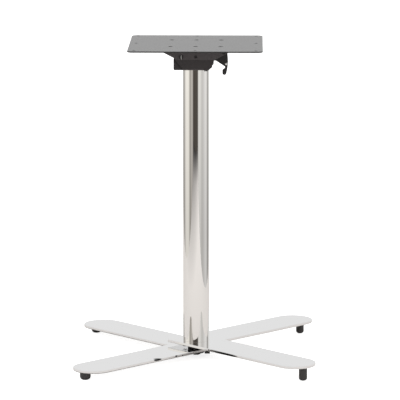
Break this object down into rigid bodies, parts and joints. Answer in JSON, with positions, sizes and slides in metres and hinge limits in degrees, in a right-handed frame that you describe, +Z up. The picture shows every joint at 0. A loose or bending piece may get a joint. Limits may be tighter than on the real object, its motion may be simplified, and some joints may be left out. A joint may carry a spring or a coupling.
{
  "type": "table base",
  "caption": "Tilt-top table base: polished column on two crossed V leg plates, one of which rocks to level the feet, and a hinged, latched mounting plate for a table top.",
  "frame": {"origin": "on the floor, on the column's axis, which is the centre of the base's footprint", "axes": "+Z up along the column, +X towards the side of the latch and of the tall feet, -Y towards the viewer of the reference picture"},
  "size_m": [0.5386, 0.5386, 0.72],
  "materials": {
    "polished_steel": "mirror polished",
    "polished_column": "mirror polished tube",
    "plate_coat": "satin black coat",
    "bracket_coat": "satin black coat",
    "housing_coat": "satin black coat",
    "lever_coat": "semi-gloss black coat",
    "zinc_steel": "bright zinc",
    "black_oxide": "black oxide",
    "foot_plastic": "moulded, fine grain",
    "pad_rubber": "matt",
    "cast_iron": "black painted casting"
  },
  "bodies": {
    "base": {"leg_plate_upper": "polished_steel", "pivot_block": "cast_iron", "trunnion_pin_left": "zinc_steel", "trunnion_pin_right": "zinc_steel", "foot_right_front": "foot_plastic", "foot_right_rear": "foot_plastic", "foot_studs_right": "zinc_steel", "column_tube": "polished_column", "column_base_plug": "cast_iron", "column_top_plug": "cast_iron", "tie_rod": "zinc_steel", "tie_rod_cap_nut": "black_oxide", "tie_rod_washer": "zinc_steel", "tie_rod_top_nut": "zinc_steel", "head_housing": "housing_coat", "strike_plate": "housing_coat", "strike_screws": "black_oxide", "strike_nuts": "zinc_steel", "hinge_pin": "black_oxide", "hinge_pin_clip": "zinc_steel"},
    "rocking_leg": {"leg_plate_lower": "polished_steel", "bearing_block_left": "cast_iron", "bearing_block_right": "cast_iron", "bearing_screws": "black_oxide", "foot_left_front": "foot_plastic", "foot_left_rear": "foot_plastic", "foot_studs_left": "zinc_steel"},
    "tilt_top": {"top_plate": "plate_coat", "tilt_bracket_front": "bracket_coat", "tilt_bracket_rear": "bracket_coat", "bracket_screws": "black_oxide", "bracket_nuts": "zinc_steel", "rest_pads": "pad_rubber", "latch_pivot_pin": "black_oxide", "latch_sleeves": "zinc_steel", "latch_spring": "zinc_steel"},
    "latch": {"latch_lever": "lever_coat", "latch_rivet": "zinc_steel"}
  },
  "joints": [
    {"name": "leg_rock", "type": "hinge", "parent": "base", "child": "rocking_leg", "pos_m": [0, 0, 0.0135], "axis": [1, 0, 0], "range_deg": [-3, 3]},
    {"name": "top_tilt", "type": "hinge", "parent": "base", "child": "tilt_top", "pos_m": [-0.033, 0, 0.694], "axis": [0, -1, 0], "range_deg": [0, 90]},
    {"name": "latch_turn", "type": "hinge", "parent": "tilt_top", "child": "latch", "pos_m": [0.063, -0.031, 0.705], "axis": [0, -1, 0], "range_deg": [-8, 18], "stiffness_Nm_per_rad": 0.15, "deforming": ["latch_spring"]}
  ]
}
